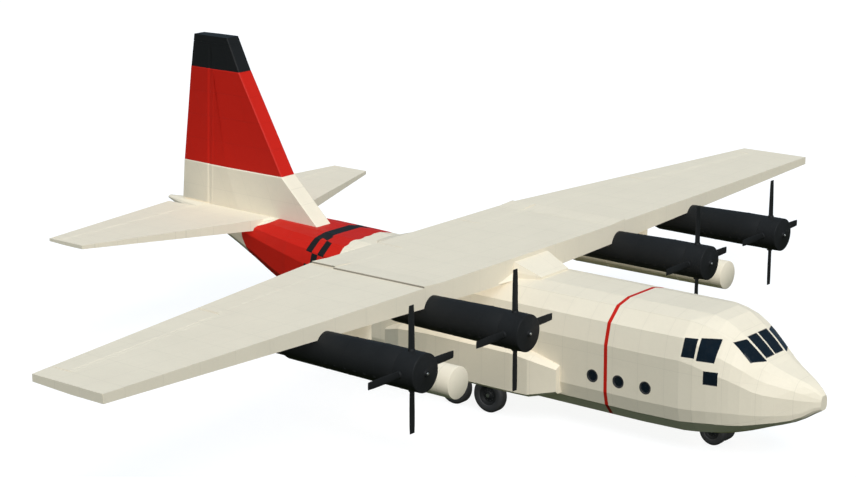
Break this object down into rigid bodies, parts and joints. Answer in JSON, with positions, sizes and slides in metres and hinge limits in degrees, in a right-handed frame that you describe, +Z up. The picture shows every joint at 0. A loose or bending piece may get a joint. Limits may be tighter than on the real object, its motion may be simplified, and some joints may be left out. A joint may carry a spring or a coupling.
{
  "type": "military transport plane, 1:2 scale model",
  "caption": "Half-size high-wing propeller transport plane, cream with red tail, with rear ramp, crew door, flaps, moving tail surfaces and steerable nose wheels.",
  "frame": {"origin": "on the ground under the middle of the bounding box", "axes": "+X forward to the nose, +Y to port along the wing, +Z up"},
  "size_m": [15, 20.2, 5.855],
  "materials": {
    "fuselage_paint": "satin",
    "tail_paint": "satin",
    "wing_paint": "satin",
    "red_paint": "satin",
    "black_paint": "satin",
    "propeller_paint": "satin",
    "glazing": "gloss",
    "tyre": "matte",
    "gear_steel": "satin",
    "engine_block": "matte",
    "cabin_grey": "matte",
    "seat_fabric": "matte",
    "tank_paint": "satin"
  },
  "bodies": {
    "airframe": {"aft_fuselage": "tail_paint", "cargo_floor": "cabin_grey", "centre_fuselage": "fuselage_paint", "cockpit_glazing": "glazing", "engine_1": "engine_block", "engine_2": "engine_block", "engine_3": "engine_block", "engine_4": "engine_block", "fin": "red_paint", "flight_deck": "cabin_grey", "forward_fuselage": "fuselage_paint", "instrument_panel": "cabin_grey", "main_gear_left": "gear_steel", "main_gear_right": "gear_steel", "nacelle_1": "black_paint", "nacelle_2": "black_paint", "nacelle_3": "black_paint", "nacelle_4": "black_paint", "nose_gear_leg": "gear_steel", "pilot_seat_left": "seat_fabric", "pilot_seat_right": "seat_fabric", "radome": "fuselage_paint", "sponson_left": "fuselage_paint", "sponson_right": "fuselage_paint", "stabilizer_left": "wing_paint", "stabilizer_right": "wing_paint", "tail_cone": "tail_paint", "tank_left": "tank_paint", "tank_right": "tank_paint", "troop_door_left": "tail_paint", "troop_door_right": "tail_paint", "wing_centre": "wing_paint", "wing_fairing": "fuselage_paint", "wing_left": "wing_paint", "wing_right": "wing_paint"},
    "propeller_1": {"propeller_1": "propeller_paint"},
    "propeller_2": {"propeller_2": "propeller_paint"},
    "propeller_3": {"propeller_3": "propeller_paint"},
    "propeller_4": {"propeller_4": "propeller_paint"},
    "nose_steering": {"nose_fork": "gear_steel"},
    "nose_wheels": {"nose_wheel_left": "tyre", "nose_wheel_right": "tyre"},
    "main_wheel_left_front": {"main_wheel_left_front": "tyre"},
    "main_wheel_left_rear": {"main_wheel_left_rear": "tyre"},
    "main_wheel_right_front": {"main_wheel_right_front": "tyre"},
    "main_wheel_right_rear": {"main_wheel_right_rear": "tyre"},
    "crew_door": {"crew_door": "fuselage_paint"},
    "cargo_ramp": {"cargo_ramp": "tail_paint"},
    "rear_cargo_door": {"rear_cargo_door": "tail_paint"},
    "aileron_left": {"aileron_left": "wing_paint"},
    "flap_left_inner": {"flap_left_inner": "wing_paint"},
    "flap_left_outer": {"flap_left_outer": "wing_paint"},
    "elevator_left": {"elevator_left": "wing_paint"},
    "aileron_right": {"aileron_right": "wing_paint"},
    "flap_right_inner": {"flap_right_inner": "wing_paint"},
    "flap_right_outer": {"flap_right_outer": "wing_paint"},
    "elevator_right": {"elevator_right": "wing_paint"},
    "rudder": {"rudder": "red_paint"}
  },
  "joints": [
    {"name": "propeller_1_spin", "type": "hinge", "parent": "airframe", "child": "propeller_1", "pos_m": [3.325, 5.445, 2.2275], "axis": [1, 0, 0], "continuous": true},
    {"name": "propeller_2_spin", "type": "hinge", "parent": "airframe", "child": "propeller_2", "pos_m": [3.325, 2.79, 2.2275], "axis": [1, 0, 0], "continuous": true},
    {"name": "propeller_3_spin", "type": "hinge", "parent": "airframe", "child": "propeller_3", "pos_m": [3.325, -2.79, 2.2275], "axis": [1, 0, 0], "continuous": true},
    {"name": "propeller_4_spin", "type": "hinge", "parent": "airframe", "child": "propeller_4", "pos_m": [3.325, -5.445, 2.2275], "axis": [1, 0, 0], "continuous": true},
    {"name": "nose_steering", "type": "hinge", "parent": "airframe", "child": "nose_steering", "pos_m": [5.525, 0, 0.2475], "axis": [0, 0, 1], "range_deg": [-60, 60]},
    {"name": "nose_wheels_roll", "type": "hinge", "parent": "nose_steering", "child": "nose_wheels", "pos_m": [5.525, 0, 0.2475], "axis": [0, 1, 0], "continuous": true},
    {"name": "main_wheel_left_front_roll", "type": "hinge", "parent": "airframe", "child": "main_wheel_left_front", "pos_m": [1.545, 1.1, 0.315], "axis": [0, 1, 0], "continuous": true},
    {"name": "main_wheel_left_rear_roll", "type": "hinge", "parent": "airframe", "child": "main_wheel_left_rear", "pos_m": [0.775, 1.1, 0.315], "axis": [0, 1, 0], "continuous": true},
    {"name": "main_wheel_right_front_roll", "type": "hinge", "parent": "airframe", "child": "main_wheel_right_front", "pos_m": [1.545, -1.1, 0.315], "axis": [0, 1, 0], "continuous": true},
    {"name": "main_wheel_right_rear_roll", "type": "hinge", "parent": "airframe", "child": "main_wheel_right_rear", "pos_m": [0.775, -1.1, 0.315], "axis": [0, 1, 0], "continuous": true},
    {"name": "crew_door_hinge", "type": "hinge", "parent": "airframe", "child": "crew_door", "pos_m": [5.14, 0.97126, 0.571], "axis": [-1, 0, 0], "range_deg": [0, 118]},
    {"name": "cargo_ramp_hinge", "type": "hinge", "parent": "airframe", "child": "cargo_ramp", "pos_m": [-1.506, 0, 0.295], "axis": [0, -1, 0], "range_deg": [0, 32]},
    {"name": "rear_cargo_door_hinge", "type": "hinge", "parent": "airframe", "child": "rear_cargo_door", "pos_m": [-4.68802, 0, 1.87515], "axis": [0, -1, 0], "range_deg": [0, 32]},
    {"name": "aileron_left_hinge", "type": "hinge", "parent": "airframe", "child": "aileron_left", "pos_m": [-0.04982, 6.21, 2.60079], "axis": [0.1003, 0.9949, 0.0045], "range_deg": [-15, 25]},
    {"name": "flap_left_inner_hinge", "type": "hinge", "parent": "airframe", "child": "flap_left_inner", "pos_m": [-0.428, 1.15, 2.47614], "axis": [0, -0.9999, -0.0114], "range_deg": [0, 36]},
    {"name": "flap_left_outer_hinge", "type": "hinge", "parent": "airframe", "child": "flap_left_outer", "pos_m": [-0.42333, 3.02, 2.49735], "axis": [-0.1033, -0.9946, -0.0078], "range_deg": [0, 36]},
    {"name": "elevator_left_hinge", "type": "hinge", "parent": "airframe", "child": "elevator_left", "pos_m": [-6.36369, 0.5, 2.40698], "axis": [0.0018, 1, 0.0091], "range_deg": [-15, 40]},
    {"name": "aileron_right_hinge", "type": "hinge", "parent": "airframe", "child": "aileron_right", "pos_m": [-0.04982, -6.21, 2.60079], "axis": [-0.1003, 0.9949, -0.0045], "range_deg": [-15, 25]},
    {"name": "flap_right_inner_hinge", "type": "hinge", "parent": "airframe", "child": "flap_right_inner", "pos_m": [-0.428, -1.15, 2.47614], "axis": [0, -0.9999, 0.0114], "range_deg": [0, 36]},
    {"name": "flap_right_outer_hinge", "type": "hinge", "parent": "airframe", "child": "flap_right_outer", "pos_m": [-0.42333, -3.02, 2.49735], "axis": [0.1033, -0.9946, 0.0078], "range_deg": [0, 36]},
    {"name": "elevator_right_hinge", "type": "hinge", "parent": "airframe", "child": "elevator_right", "pos_m": [-6.36369, -0.5, 2.40698], "axis": [-0.0018, 1, -0.0091], "range_deg": [-15, 40]},
    {"name": "rudder_hinge", "type": "hinge", "parent": "airframe", "child": "rudder", "pos_m": [-6.3, 0, 2.55], "axis": [0.0506, 0, 0.9987], "range_deg": [-35, 35]}
  ],
  "couplings": [
    {"joint": "flap_left_outer_hinge", "follows": "flap_left_inner_hinge", "ratio": 1},
    {"joint": "flap_right_inner_hinge", "follows": "flap_left_inner_hinge", "ratio": 1},
    {"joint": "flap_right_outer_hinge", "follows": "flap_left_inner_hinge", "ratio": 1},
    {"joint": "elevator_right_hinge", "follows": "elevator_left_hinge", "ratio": 1}
  ]
}
